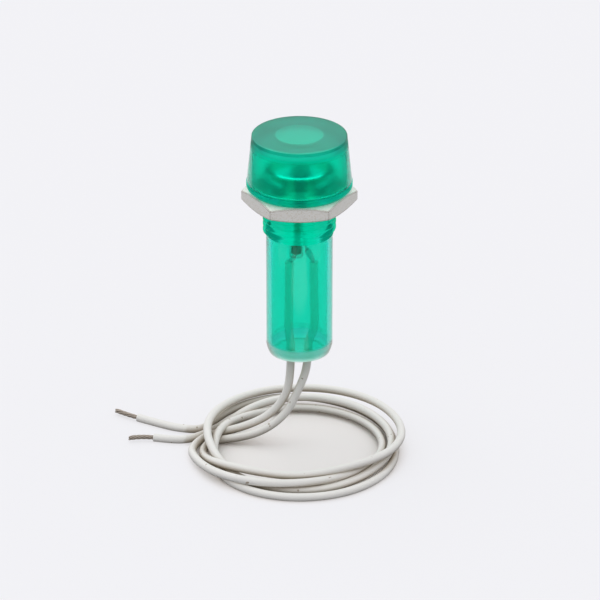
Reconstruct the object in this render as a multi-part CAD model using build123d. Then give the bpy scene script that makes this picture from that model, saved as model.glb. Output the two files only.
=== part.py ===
from build123d import *
import math
import os

# Panel mount indicator light. Millimetres. The origin is on the axis, at the
# flange's underside, which is the face that rests on the panel. +Z is towards
# the lens, so the barrel and its two leads hang down towards -Z. Two of the
# nut's flats face +Y and -Y.

# ---- driving dimensions ----

# threaded body: flange, spigot, thread and plain barrel in one moulding
FLANGE_LIP = 0.08            # how far the flange stands proud of the cap's base
FLANGE_T = 1.5
FLANGE_UNDERCUT = 0.58       # how much smaller the seating face is than the flange
FLANGE_BEVEL = 0.12
REGISTER_H = 0.5             # low step that centres the lens cap
REGISTER_GAP = 0.05
SPIGOT_R = 5.75
SPIGOT_TOP = 4.1
THREAD_R = 6.35              # half-inch panel hole; the thread is a plain band over its crests
THREAD_CREST = 0.2           # crest between the nut and the one groove kept, below the nut
THREAD_GROOVE = 0.86         # width of that groove, which parts the free stretch from the nut's
THREAD_DEPTH = 0.55          # the barrel runs on at the thread's root
THREAD_L = 8.9               # from the flange to where the thread runs out
THREAD_NECK = 0.45           # plain neck between the flange and the thread
THREAD_LEAD = 0.6            # tapered length at each end of the thread
BARREL_L = 31.15
END_TAPER_L = 1.35           # the barrel draws in towards its open end
END_TAPER = 0.4
END_BEVEL = 0.18
BORE_R = 4.8

# lens cap
CAP_H = 8.45
CAP_BASE_R = 9.1
CAP_TOP_R = 8.22
CAP_WALL = 0.9
CAP_ROOF = 1.3
CAP_EDGE_BEVEL = 0.3
EYE_R = 4.3                  # thinner disc in the middle of the roof
EYE_DEPTH = 0.55

# hex nut
NUT_AF = 17.46
NUT_T = 2.8
NUT_SEAT_GAP = 0.02
NUT_THREAD_GAP = 0.06
NUT_FACE_R = 8.35            # flat left inside each chamfer
NUT_CHAMFER_ANGLE = 20
NUT_MOUTH = 0.4

# lamp and resistor
LAMP_R = 1.8
LAMP_WALL = 0.35
LAMP_X = 0.2
LAMP_TOP = 4.9
LAMP_L = 9.6
LAMP_FOOT_T = 1.4
ELECTRODE_R = 0.3
ELECTRODE_X = 0.75           # each side of the lamp's axis
ELECTRODE_L = 6.0
WIRE_R = 0.19
RESISTOR_R = 0.82
RESISTOR_END_R = 0.92
RESISTOR_END_L = 1.3
RESISTOR_L = 5.6
RESISTOR_DROP = 2.0          # from the lamp's foot to the resistor
SOLDER_R = 0.42
SOLDER_L = 1.2
SOLDER_LIP = 0.04            # metal left round a wire at each tapered end
SLEEVE_WALL = 0.24
SLEEVE_GAP = 0.05
SLEEVE_OVERHANG = 0.5

# insulated leads and seal
LEAD_D = 1.45
CONDUCTOR_D = 0.78
INNER_A_X = -1.75
INNER_B_X = 2.5
INNER_SPREAD = 0.12          # outward lean between the cut end and the seal
EXIT_X = 1.5
INNER_DROP = 1.2             # from the resistor sleeve to the cut insulation
SPLICE_A_R = 0.45
SPLICE_A_L = 0.75
SPLICE_B_R = 0.55
SPLICE_B_L = 1.7
LAMP_LEAD_B_BEND = 6.2       # straight length below the lamp's foot
SEAL_DEPTH = 3.1
SEAL_GAP = 0.02
SEAL_RECESS = 0.25
SEAL_MENISCUS = 0.25

# leads outside the barrel, and the ring that holds their loose coil
FLOOR_Z = -49.5
FLOOR_GAP = 0.03
COIL_X = -0.5
COIL_Y = -3.8
COIL_OUTER_R = 19.3
COIL_INNER_R = 13.0
COIL_H = 4.6

# ---- worked out from them ----

FLANGE_R = CAP_BASE_R + FLANGE_LIP
NUT_BOTTOM = -NUT_SEAT_GAP - NUT_T
ROOT_R = THREAD_R - THREAD_DEPTH
BARREL_END = -BARREL_L
CAP_TOP = FLANGE_T + CAP_H
CAP_BORE_R = CAP_BASE_R - CAP_WALL
CAP_DRAFT = (CAP_BASE_R - CAP_TOP_R) / CAP_H
LAMP_FOOT = LAMP_TOP - LAMP_L
RESISTOR_X = LAMP_X - ELECTRODE_X
LAMP_LEAD_B_X = LAMP_X + ELECTRODE_X
RESISTOR_TOP = LAMP_FOOT - RESISTOR_DROP
RESISTOR_END = RESISTOR_TOP - RESISTOR_L
SOLDER_Z = (LAMP_FOOT + RESISTOR_TOP) / 2
INNER_TOP = RESISTOR_END - SLEEVE_OVERHANG - INNER_DROP
SEAL_TOP = BARREL_END + SEAL_DEPTH
SEAL_END = BARREL_END + SEAL_RECESS
LEAD_Z = FLOOR_Z + FLOOR_GAP + LEAD_D / 2

# where each bare wire turns towards its insulated lead, and the lead's cut end
BEND_A = Vector(RESISTOR_X, 0, RESISTOR_END - SLEEVE_OVERHANG)
BEND_B = Vector(LAMP_LEAD_B_X, 0, LAMP_FOOT - LAMP_LEAD_B_BEND)
CUT_A = Vector(INNER_A_X, 0, INNER_TOP)
CUT_B = Vector(INNER_B_X, 0, INNER_TOP)

# each lead outside the barrel: down from the seal, into the coil, out of it
DROP_A = [(-EXIT_X, 0, SEAL_END), (-EXIT_X, 0, -35.2), (-2.4, 0.25, -39.9), (-5.3, 0.8, -43.9),
          (-9.3, 1.4, -46.4), (-13.7, 1.3, -48.15)]
DROP_B = [(EXIT_X, 0, SEAL_END), (EXIT_X, 0, -34.6), (-0.3, -0.45, -38.7), (-2.7, -0.65, -43.0),
          (-6.7, -0.5, -46.1), (-10.9, -0.45, -47.95), (-15.0, -1.0, -48.7)]
TAIL_A = [(-15.15, 3.5, LEAD_Z), (-22.4, 4.3, LEAD_Z), (-29.0, 7.4, LEAD_Z)]
TAIL_B = [(-17.0, 1.5, LEAD_Z), (-21.35, 0.1, LEAD_Z), (-25.9, 0.5, LEAD_Z)]
TIP_A = (-33.0, 10.0, LEAD_Z)
TIP_B = (-30.4, -0.4, LEAD_Z)


# ---- helpers ----

def turned(points, x=0.0, y=0.0):
    """A solid of revolution from (radius, height) points, on a vertical axis at x, y."""
    outline = make_face(Polyline(*[(r, 0, z) for r, z in points], close=True))
    return Pos(x, y, 0) * revolve(outline, Axis.Z)


def rod(radius, x, low, high):
    """A vertical round rod between two heights."""
    return Pos(x, 0, low) * Cylinder(radius, high - low, align=(Align.CENTER, Align.CENTER, Align.MIN))


def tube_along(points, diameter):
    """A round tube along straight runs joined by arcs as large as the runs allow."""
    points = [Vector(*p) for p in points]
    radii = []
    for before, here, after in zip(points, points[1:], points[2:]):
        turn = math.radians((here - before).get_angle(after - here))
        shorter = min((here - before).length, (after - here).length)
        radii.append(0.45 * shorter / math.tan(turn / 2))
    path = FilletPolyline(*points, radius=radii)
    section = Plane(origin=path @ 0, z_dir=path % 0) * Circle(diameter / 2)
    return sweep(section, path=path), radii, path.length


def cord(name, points):
    """A free stretch of lead. Prints its bend radii and its volume against section x length."""
    solid, radii, length = tube_along(points, LEAD_D)
    ratio = solid.volume / (math.pi * LEAD_D ** 2 / 4 * length)
    shown = [round(r, 1) for r in radii]
    print(name, "length", round(length, 1), "radii", shown, "volume ratio", round(ratio, 4))
    return solid


# ---- housing ----

def lens_cap():
    """A tapered cup, open at the bottom, with a thinner round eye in its roof."""
    under_roof = CAP_TOP - CAP_ROOF
    bore_top_r = CAP_BORE_R - CAP_DRAFT * (CAP_H - CAP_ROOF)
    edge = CAP_EDGE_BEVEL
    return turned([
        (0, CAP_TOP), (CAP_TOP_R - edge, CAP_TOP), (CAP_TOP_R + CAP_DRAFT * edge, CAP_TOP - edge),
        (CAP_BASE_R, FLANGE_T), (CAP_BORE_R, FLANGE_T), (bore_top_r, under_roof),
        (EYE_R, under_roof), (EYE_R, under_roof + EYE_DEPTH), (0, under_roof + EYE_DEPTH),
    ])


def threaded_body():
    """Flange, spigot, thread and barrel in one moulding, bored through for the lamp."""
    register_r = CAP_BORE_R - CAP_DRAFT * REGISTER_H - REGISTER_GAP
    register_top = FLANGE_T + REGISTER_H
    groove_top = NUT_BOTTOM - THREAD_CREST
    wall = ROOT_R - BORE_R
    taper = min(END_TAPER, 0.6 * wall)
    bevel = min(END_BEVEL, 0.3 * wall)
    return turned([
        (BORE_R, SPIGOT_TOP), (SPIGOT_R, SPIGOT_TOP), (SPIGOT_R, register_top),
        (register_r, register_top), (register_r, FLANGE_T), (FLANGE_R - FLANGE_BEVEL, FLANGE_T),
        (FLANGE_R, FLANGE_T - FLANGE_BEVEL), (FLANGE_R, FLANGE_UNDERCUT),
        (FLANGE_R - FLANGE_UNDERCUT, 0), (ROOT_R, 0),
        (ROOT_R, -THREAD_NECK), (THREAD_R, -THREAD_NECK - THREAD_LEAD),
        (THREAD_R, groove_top), (ROOT_R, groove_top - THREAD_GROOVE / 2),
        (THREAD_R, groove_top - THREAD_GROOVE),
        (THREAD_R, THREAD_LEAD - THREAD_L), (ROOT_R, -THREAD_L),
        (ROOT_R, BARREL_END + END_TAPER_L), (ROOT_R - taper, BARREL_END + bevel),
        (ROOT_R - taper - bevel, BARREL_END), (BORE_R, BARREL_END),
    ])


def hex_nut():
    """A thin hexagon chamfered on both faces, bored to run on the body's thread."""
    top = -NUT_SEAT_GAP
    bottom = NUT_BOTTOM
    across_corners = NUT_AF / math.cos(math.radians(30))
    blank = Pos(0, 0, bottom) * extrude(RegularPolygon(NUT_AF / 2, 6, major_radius=False), NUT_T)
    fall = (across_corners / 2 - NUT_FACE_R) * math.tan(math.radians(NUT_CHAMFER_ANGLE))
    turned_outer = turned([
        (0, top), (NUT_FACE_R, top), (across_corners / 2, top - fall),
        (across_corners / 2, bottom + fall), (NUT_FACE_R, bottom), (0, bottom),
    ])
    bore_r = THREAD_R + NUT_THREAD_GAP
    bore = turned([
        (0, top), (bore_r + NUT_MOUTH, top), (bore_r, top - NUT_MOUTH),
        (bore_r, bottom + NUT_MOUTH), (bore_r + NUT_MOUTH, bottom), (0, bottom),
    ])
    return (blank & turned_outer) - bore


# ---- lamp circuit, inside the bore ----

def lamp_leads():
    """The wires under the electrodes: a stops at the solder, b bends into its crimp."""
    electrode_end = LAMP_FOOT + LAMP_FOOT_T
    lead_a = rod(WIRE_R, RESISTOR_X, SOLDER_Z, electrode_end)
    points = [(LAMP_LEAD_B_X, 0, electrode_end), BEND_B, (BEND_B + CUT_B) / 2]
    lead_b = tube_along(points, 2 * WIRE_R)[0]
    return lead_a, lead_b


def lamp_envelope(wires):
    """Glass bulb with a drawn tip and a thick pressed foot that the wires pass through."""
    dome = LAMP_TOP - LAMP_R
    inner_r = LAMP_R - LAMP_WALL
    outer = Pos(LAMP_X, 0, dome) * Sphere(LAMP_R) + rod(LAMP_R, LAMP_X, LAMP_FOOT, dome)
    hollow = rod(inner_r, LAMP_X, LAMP_FOOT + LAMP_FOOT_T, dome)
    tip = Pos(LAMP_X, 0, LAMP_TOP) * Cone(LAMP_WALL, LAMP_WALL / 3, LAMP_WALL)
    glass = outer + tip - hollow
    for wire in wires:
        glass -= wire
    return glass


def resistor():
    """Dog-bone body with its two wires and the loose sleeve over it."""
    x = RESISTOR_X
    neck = RESISTOR_END_R - RESISTOR_R
    body = turned([
        (0, RESISTOR_TOP), (RESISTOR_R, RESISTOR_TOP), (RESISTOR_END_R, RESISTOR_TOP - neck),
        (RESISTOR_END_R, RESISTOR_TOP - RESISTOR_END_L),
        (RESISTOR_R, RESISTOR_TOP - RESISTOR_END_L - neck),
        (RESISTOR_R, RESISTOR_END + RESISTOR_END_L + neck),
        (RESISTOR_END_R, RESISTOR_END + RESISTOR_END_L),
        (RESISTOR_END_R, RESISTOR_END + neck), (RESISTOR_R, RESISTOR_END), (0, RESISTOR_END),
    ], x)
    upper = rod(WIRE_R, x, RESISTOR_TOP, SOLDER_Z)
    lower = tube_along([(x, 0, RESISTOR_END), BEND_A, (BEND_A + CUT_A) / 2], 2 * WIRE_R)[0]
    inner = RESISTOR_END_R + SLEEVE_GAP
    low = RESISTOR_END - SLEEVE_OVERHANG
    high = RESISTOR_TOP + SLEEVE_OVERHANG
    sleeve = rod(inner + SLEEVE_WALL, x, low, high) - rod(inner, x, low, high)
    return body, upper, lower, sleeve


def joint_round(middle, direction, radius, length, tip_r, wires):
    """A short barrel of solder or crimped metal round the wires that meet at its middle."""
    outline = [(0, length / 2), (tip_r, length / 2), (radius, 0.3 * length), (radius, -0.3 * length),
               (tip_r, -length / 2), (0, -length / 2)]
    joint = Plane(origin=middle, z_dir=direction) * turned(outline)
    for wire in wires:
        joint -= wire
    return joint


# ---- leads and seal ----

def inner_lead(top_x, exit_x):
    """An insulated lead inside the barrel, leaning outward, then drawn in to its exit."""
    points = [(top_x, 0, INNER_TOP),
              (top_x + math.copysign(INNER_SPREAD, top_x), 0, SEAL_TOP + LEAD_D),
              (exit_x, 0, (SEAL_TOP + SEAL_END) / 2), (exit_x, 0, SEAL_END)]
    return tube_along(points, LEAD_D)[0]


def end_seal(leads):
    """Potting that fills the barrel's end, drawn up its wall, with the leads cast in."""
    r = BORE_R - SEAL_GAP
    seal = turned([
        (0, SEAL_TOP), (r - 2 * SEAL_MENISCUS, SEAL_TOP), (r, SEAL_TOP + SEAL_MENISCUS),
        (r, SEAL_END), (0, SEAL_END),
    ])
    for lead in leads:
        seal -= lead
    return seal


def coil_ring():
    """The outer shape of the loose coil: a low plain ring."""
    top = FLOOR_Z + COIL_H
    return turned([
        (COIL_INNER_R, FLOOR_Z), (COIL_OUTER_R, FLOOR_Z), (COIL_OUTER_R, top), (COIL_INNER_R, top),
    ], COIL_X, COIL_Y)


def strands(start, end):
    """The stripped conductor beyond the insulation."""
    run = Line(start, end)
    return sweep(Plane(origin=start, z_dir=run % 0) * Circle(CONDUCTOR_D / 2), path=run)


# ---- build and export ----

def build():
    parts = {"lens_cap": lens_cap(), "threaded_body": threaded_body(), "hex_nut": hex_nut()}

    electrode_end = LAMP_FOOT + LAMP_FOOT_T
    for name, x in (("electrode_a", RESISTOR_X), ("electrode_b", LAMP_LEAD_B_X)):
        parts[name] = rod(ELECTRODE_R, x, electrode_end, electrode_end + ELECTRODE_L)
    parts["lamp_lead_a"], parts["lamp_lead_b"] = lamp_leads()
    parts["lamp_envelope"] = lamp_envelope([parts["lamp_lead_a"], parts["lamp_lead_b"]])
    body, upper, lower, sleeve = resistor()
    parts["resistor_body"] = body
    parts["resistor_lead_upper"] = upper
    parts["resistor_lead_lower"] = lower
    parts["resistor_sleeve"] = sleeve
    parts["solder_joint"] = joint_round((RESISTOR_X, 0, SOLDER_Z), (0, 0, 1), SOLDER_R, SOLDER_L,
                                        WIRE_R + SOLDER_LIP, [parts["lamp_lead_a"], upper])

    parts["inner_lead_a"] = inner_lead(INNER_A_X, -EXIT_X)
    parts["inner_lead_b"] = inner_lead(INNER_B_X, EXIT_X)
    for side, bend, cut, radius, length, wire in (
            ("a", BEND_A, CUT_A, SPLICE_A_R, SPLICE_A_L, lower),
            ("b", BEND_B, CUT_B, SPLICE_B_R, SPLICE_B_L, parts["lamp_lead_b"])):
        middle = (bend + cut) / 2
        bare = strands(cut, middle) - parts["inner_lead_" + side]
        parts["strands_" + side] = bare
        parts["splice_" + side] = joint_round(
            middle, bend - cut, radius, length, CONDUCTOR_D / 2 + SOLDER_LIP, [bare, wire])
    parts["end_seal"] = end_seal([parts["inner_lead_a"], parts["inner_lead_b"]])

    ring = coil_ring()
    parts["lead_coil"] = ring
    parts["lead_a_drop"] = cord("lead_a_drop", DROP_A) - ring
    parts["lead_b_drop"] = cord("lead_b_drop", DROP_B) - ring
    parts["lead_a_tail"] = cord("lead_a_tail", TAIL_A) - ring
    parts["lead_b_tail"] = cord("lead_b_tail", TAIL_B) - ring
    parts["conductor_a"] = strands(TAIL_A[-1], TIP_A) - parts["lead_a_tail"]
    parts["conductor_b"] = strands(TAIL_B[-1], TIP_B) - parts["lead_b_tail"]
    return parts


os.makedirs("parts", exist_ok=True)
for node, solid in build().items():
    export_step(solid, f"parts/{node}.step")
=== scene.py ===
"""Panel mount indicator light: a green lens cap and threaded barrel, a hex nut, a small neon lamp
with its resistor, and two white leads in a loose coil. Lengths are metres, in the part's own frame:
+Z towards the lens, origin under the flange."""
import math
from collections import namedtuple

import bmesh
import bpy
import numpy as np
from bpy.props import FloatProperty, FloatVectorProperty, IntProperty, PointerProperty
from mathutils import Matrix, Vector


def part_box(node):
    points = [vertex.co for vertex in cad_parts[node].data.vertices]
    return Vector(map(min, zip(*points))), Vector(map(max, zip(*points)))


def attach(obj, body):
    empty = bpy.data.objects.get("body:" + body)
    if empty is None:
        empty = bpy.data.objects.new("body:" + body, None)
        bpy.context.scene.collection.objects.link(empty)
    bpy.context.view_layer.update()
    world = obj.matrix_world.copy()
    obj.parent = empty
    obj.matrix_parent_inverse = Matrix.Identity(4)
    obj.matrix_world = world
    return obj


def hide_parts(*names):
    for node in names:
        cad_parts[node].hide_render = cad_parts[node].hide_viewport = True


bl_info = {
    "name": "Panel Indicator Light",
    "version": (1, 0, 0),
    "blender": (4, 5, 0),
    "location": "View3D > Sidebar > Indicator",
    "description": "Builds the finished look of a panel mount indicator light with wire leads",
    "category": "Object",
}

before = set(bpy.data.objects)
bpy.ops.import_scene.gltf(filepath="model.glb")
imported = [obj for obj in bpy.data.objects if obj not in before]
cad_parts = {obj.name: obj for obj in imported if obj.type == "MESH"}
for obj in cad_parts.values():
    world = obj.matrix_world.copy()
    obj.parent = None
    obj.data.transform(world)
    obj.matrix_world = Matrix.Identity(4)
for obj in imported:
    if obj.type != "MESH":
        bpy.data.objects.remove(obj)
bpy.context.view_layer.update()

MM = 0.001
CAP_LOW, CAP_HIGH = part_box("lens_cap")
BODY_LOW, BODY_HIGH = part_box("threaded_body")
NUT_LOW, NUT_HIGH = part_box("hex_nut")
LAMP_LOW, LAMP_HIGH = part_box("lamp_envelope")
SEAL_LOW, SEAL_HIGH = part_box("end_seal")
COIL_LOW, COIL_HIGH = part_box("lead_coil")
FLOOR_Z = COIL_LOW[2]
COIL_CENTRE = ((COIL_LOW[0] + COIL_HIGH[0]) / 2, (COIL_LOW[1] + COIL_HIGH[1]) / 2)


# ---- sizes and colours a user would change ----

class IndicatorHousing(bpy.types.PropertyGroup):
    green: FloatVectorProperty(
        name="Plastic colour", description="Tint of the translucent plastic",
        subtype="COLOR", default=(0.03, 0.92, 0.73), min=0, max=1)
    cap_wall: FloatProperty(
        name="Cap wall", description="Wall thickness of the lens cap", unit="LENGTH", default=0.9 * MM)
    cap_roof: FloatProperty(
        name="Cap roof", description="Roof thickness of the lens cap", unit="LENGTH", default=1.3 * MM)
    eye_radius: FloatProperty(
        name="Eye radius", description="Radius of the thin disc in the cap's roof",
        unit="LENGTH", default=4.3 * MM)
    bore: FloatProperty(
        name="Bore radius", description="Radius of the barrel's bore", unit="LENGTH", default=4.8 * MM)
    thread_radius: FloatProperty(
        name="Thread radius", description="Radius over the thread's crests",
        unit="LENGTH", default=6.35 * MM)
    thread_depth: FloatProperty(
        name="Thread depth", description="Depth from crest to root", unit="LENGTH", default=0.55 * MM)
    thread_pitch: FloatProperty(
        name="Thread pitch", description="Rise of the thread in one turn",
        unit="LENGTH", default=1.058 * MM)
    thread_end: FloatProperty(
        name="Thread end", description="Height at which the thread runs out",
        unit="LENGTH", default=-8.4 * MM)


class IndicatorMetal(bpy.types.PropertyGroup):
    nickel: FloatVectorProperty(
        name="Nickel colour", description="Colour of the nut's plating",
        subtype="COLOR", default=(1.0, 0.985, 0.94), min=0, max=1)
    across_flats: FloatProperty(
        name="Across flats", description="Size of the nut over two flats",
        unit="LENGTH", default=17.46 * MM)
    face_radius: FloatProperty(
        name="Face radius", description="Radius of the flat inside the nut's chamfer",
        unit="LENGTH", default=8.35 * MM)
    chamfer: FloatProperty(
        name="Chamfer angle", description="Slope of the nut's chamfer", subtype="ANGLE",
        default=math.radians(20))


class IndicatorLeads(bpy.types.PropertyGroup):
    insulation: FloatVectorProperty(
        name="Insulation colour", description="Colour of the leads' insulation",
        subtype="COLOR", default=(0.85, 0.841, 0.80), min=0, max=1)
    diameter: FloatProperty(
        name="Lead diameter", description="Diameter over the insulation",
        unit="LENGTH", default=1.45 * MM)
    strand: FloatProperty(
        name="Strand diameter", description="Diameter of one strand of the conductor",
        unit="LENGTH", default=0.27 * MM)
    strand_count: IntProperty(
        name="Strands", description="Strands laid round the middle one", default=6, min=3, max=12)


class IndicatorStage(bpy.types.PropertyGroup):
    floor: FloatVectorProperty(
        name="Floor colour", description="Colour of the floor", subtype="COLOR",
        default=(0.888, 0.886, 0.912), min=0, max=1)
    strip: FloatVectorProperty(
        name="Bright strip", description="Half width, near edge and far edge of the strip in front",
        size=3, unit="LENGTH", default=(0.030, 0.064, 0.085))
    fill: FloatProperty(
        name="Fill", description="Share of the open floor's brightness that no shadow takes away",
        subtype="FACTOR", default=0.7)
    coil: FloatProperty(
        name="Coil radius", description="Inside this radius of the coil's centre the floor has no fill",
        unit="LENGTH", default=0.0205)
    distance: FloatProperty(
        name="Camera distance", description="From the camera to the middle of the light",
        unit="LENGTH", default=0.665)
    elevation: FloatProperty(
        name="Camera elevation", description="Angle of the camera above the horizontal",
        subtype="ANGLE", default=math.radians(26))
    focal: FloatProperty(
        name="Focal length", description="Camera focal length in millimetres", default=228.0)


# ---- surfaces ----

ARC_STEPS = 5    # faces round each rounded corner


def skin(name, grid, wrap_rows=False, smooth=35.0):
    """A mesh over a grid of points, rows by columns; columns wrap round. Coincident points,
    such as a pole's, are merged and the faces are turned outwards."""
    rows, columns = grid.shape[:2]
    index = np.arange(rows * columns).reshape(rows, columns)
    below = index if wrap_rows else index[:-1]
    above = np.roll(index, -1, axis=0) if wrap_rows else index[1:]
    quads = np.stack([below, np.roll(below, -1, axis=1), np.roll(above, -1, axis=1), above], axis=-1)
    mesh = bpy.data.meshes.new(name)
    mesh.from_pydata(grid.reshape(-1, 3), [], quads.reshape(-1, 4))
    form = bmesh.new()
    form.from_mesh(mesh)
    bmesh.ops.remove_doubles(form, verts=form.verts, dist=1e-7)
    bmesh.ops.recalc_face_normals(form, faces=form.faces)
    if form.calc_volume(signed=True) < 0:
        bmesh.ops.reverse_faces(form, faces=form.faces)
    form.to_mesh(mesh)
    form.free()
    mesh.polygons.foreach_set("use_smooth", np.ones(len(mesh.polygons), dtype=bool))
    mesh.set_sharp_from_angle(angle=math.radians(smooth))
    return mesh


def rounded(corners):
    """Outline points from (radius, height, corner radius) corners: each corner becomes an arc
    tangent to its two sides, whose centre lies on the bisector at corner radius over sine of the
    half angle."""
    points = []
    for before, here, after in zip(corners[-1:] + corners[:-1], corners, corners[1:] + corners[:1]):
        corner = np.array(here[:2])
        if here[2] == 0:
            points.append(corner)
            continue
        a = np.array(before[:2]) - corner
        b = np.array(after[:2]) - corner
        a /= np.linalg.norm(a)
        b /= np.linalg.norm(b)
        half = math.acos(np.clip(a @ b, -1, 1)) / 2
        bisector = (a + b) / np.linalg.norm(a + b)
        centre = corner + bisector * here[2] / math.sin(half)
        start = corner + a * here[2] / math.tan(half) - centre
        end = corner + b * here[2] / math.tan(half) - centre
        sweep = np.linspace(0, 1, ARC_STEPS + 1)[:, None]
        turn = math.pi - 2 * half
        arc = (np.sin((1 - sweep) * turn) * start + np.sin(sweep * turn) * end) / math.sin(turn)
        points.extend(centre + arc)
    return np.array(points)


def turned(name, outline, segments=160, x=0.0):
    """A surface of revolution: each (radius, height) of the outline goes round the upright axis at x."""
    angle = np.linspace(0, 2 * math.pi, segments, endpoint=False)
    radius = outline[:, 0:1]
    return skin(name, np.stack([x + radius * np.cos(angle), radius * np.sin(angle),
                                np.repeat(outline[:, 1:2], segments, axis=1)], axis=-1))


def carried(line, radii, sides=20):
    """A round section carried along a line without twist: the section's axes are found by taking
    out of the last normal its part along the new tangent. radii is one radius for each point."""
    tangent = np.gradient(line, axis=0)
    tangent /= np.linalg.norm(tangent, axis=1, keepdims=True)
    normal = np.empty_like(line)
    side = np.cross(tangent[0], (0.0, 1.0, 0.02))
    for i, along in enumerate(tangent):
        side = side - along * (side @ along)
        side = side / np.linalg.norm(side)
        normal[i] = side
    other = np.cross(tangent, normal)
    angle = np.linspace(0, 2 * math.pi, sides, endpoint=False)[None, :, None]
    ring = normal[:, None] * np.cos(angle) + other[:, None] * np.sin(angle)
    return line[:, None] + ring * np.asarray(radii)[:, None, None]


def joined(name, meshes):
    """Several meshes made one."""
    form = bmesh.new()
    for mesh in meshes:
        form.from_mesh(mesh)
        bpy.data.meshes.remove(mesh)
    whole = bpy.data.meshes.new(name)
    form.to_mesh(whole)
    form.free()
    return whole


def two_tone(mesh, first, second, test):
    """Gives a mesh two materials: the second where the height of a face's middle passes the test."""
    mesh.materials.append(first)
    mesh.materials.append(second)
    centres = np.empty(len(mesh.polygons) * 3)
    mesh.polygons.foreach_get("center", centres)
    mesh.polygons.foreach_set("material_index", test(centres[2::3]).astype(np.int32))


def placed(name, data):
    """A new object in the scene."""
    obj = bpy.data.objects.new(name, data)
    bpy.context.scene.collection.objects.link(obj)
    return obj


def piece(name, mesh, material, slot, *nodes):
    """Puts a mesh in the scene as a piece that stands for CAD nodes."""
    obj = placed(name, mesh)
    if material:
        mesh.materials.append(material)
    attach(obj, "root")
    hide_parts(*nodes)
    return obj


def shade(colour, share):
    """A colour scaled by one share, or by one for each channel."""
    return np.multiply(colour, share)


def dress(material, *nodes):
    """Gives CAD nodes a new material in every slot."""
    for node in nodes:
        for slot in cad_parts[node].material_slots:
            slot.material = material


# ---- node helpers and shared effects ----

MIX_SOCKETS = {"RGBA": (6, 7, 2), "FLOAT": (2, 3, 0)}    # a Mix node's two inputs and its output
EFFECTS = {}    # the shared effects, made by main


class Graph:
    """A node tree, with short ways to add and join its nodes."""

    def __init__(self, tree):
        self.nodes = tree.nodes
        self.links = tree.links

    def add(self, kind, **values):
        """A new node, with values for its properties and its sockets."""
        node = self.nodes.new(kind)
        for key, value in values.items():
            if hasattr(node, key):
                setattr(node, key, value)
            else:
                self.feed(node.inputs[key.replace("_", " ")], value)
        return node

    def feed(self, socket, value):
        """Puts an output, a number, a vector or a colour into a socket."""
        if isinstance(value, bpy.types.NodeSocket):
            self.links.new(value, socket)
        elif socket.type == "RGBA":
            socket.default_value = (*value, 1)
        else:
            socket.default_value = value

    def maths(self, operation, *values):
        """The result of an operation on values, each an output or a number."""
        node = self.add("ShaderNodeMath", operation=operation)
        for socket, value in zip(node.inputs, values):
            self.feed(socket, value)
        return node.outputs["Value"]

    def mix(self, share, first, second, kind="RGBA", blend="MIX"):
        """Two colours, or two numbers, mixed by a share."""
        start, end, result = MIX_SOCKETS[kind]
        node = self.add("ShaderNodeMix", data_type=kind, blend_type=blend, Factor=share)
        self.feed(node.inputs[start], first)
        self.feed(node.inputs[end], second)
        return node.outputs[result]

    def ramp(self, value, **limits):
        """A value brought from one range into another."""
        return self.add("ShaderNodeMapRange", Value=value, **limits).outputs["Result"]

    def ease(self, value, low, high):
        """Nought at the first limit and one at the second, with a soft start and end."""
        return self.ramp(value, interpolation_type="SMOOTHSTEP", From_Min=low, From_Max=high)


class Shader(Graph):
    """A material with one Principled BSDF. The values are for its sockets."""

    def __init__(self, name, **values):
        self.material = bpy.data.materials.new(name)
        self.material.use_nodes = True
        super().__init__(self.material.node_tree)
        self.base = self.nodes["Principled BSDF"]
        self.give(**values)

    def give(self, **values):
        """Puts values into the Principled BSDF's own sockets."""
        for name, value in values.items():
            self.feed(self.base.inputs[name.replace("_", " ")], value)

    def coordinates(self, scale=(1, 1, 1), turn=(0, 0, 0), shift=(0, 0, 0)):
        """Object coordinates, scaled, then turned, then shifted."""
        place = self.add("ShaderNodeTexCoord").outputs["Object"]
        mapping = self.add("ShaderNodeMapping", Vector=place, Scale=scale, Rotation=turn, Location=shift)
        return mapping.outputs["Vector"]

    def effect(self, name, vector, **values):
        """A shared effect placed in this material with its own values. Returns its outputs."""
        return self.add("ShaderNodeGroup", node_tree=EFFECTS[name], Vector=vector, **values).outputs

    def zone(self, vector, **limits):
        """The mask of a ring-shaped zone about the vertical axis."""
        return self.effect("zone", vector, **limits)["Mask"]

    def openness(self, distance, **limits):
        """One where a surface is open, and less where others stand within the distance."""
        return self.add("ShaderNodeAmbientOcclusion", samples=8, Distance=distance, **limits).outputs["AO"]

    def finish(self, flow, colour, rough, relief, strength):
        """Gives the material its colour, a roughness that wanders between two, and a fine relief."""
        bump = self.add("ShaderNodeBump", Height=flow["Height"], Distance=relief, Strength=strength)
        self.give(Base_Color=colour, Normal=bump.outputs["Normal"],
                  Roughness=self.ramp(flow["Mask"], To_Min=rough[0], To_Max=rough[1]))
        return self.material


class Effect(Graph):
    """A node group that takes a Vector and named numbers, and gives named numbers."""

    def __init__(self, name, inputs, outputs):
        self.tree = bpy.data.node_groups.new(name, "ShaderNodeTree")
        super().__init__(self.tree)
        sockets = self.tree.interface
        sockets.new_socket("Vector", in_out="INPUT", socket_type="NodeSocketVector")
        for label, default in inputs.items():
            sockets.new_socket(label, in_out="INPUT", socket_type="NodeSocketFloat").default_value = default
        for label in outputs:
            sockets.new_socket(label, in_out="OUTPUT", socket_type="NodeSocketFloat")
        self.given = self.nodes.new("NodeGroupInput").outputs
        self.result = self.nodes.new("NodeGroupOutput").inputs


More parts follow.
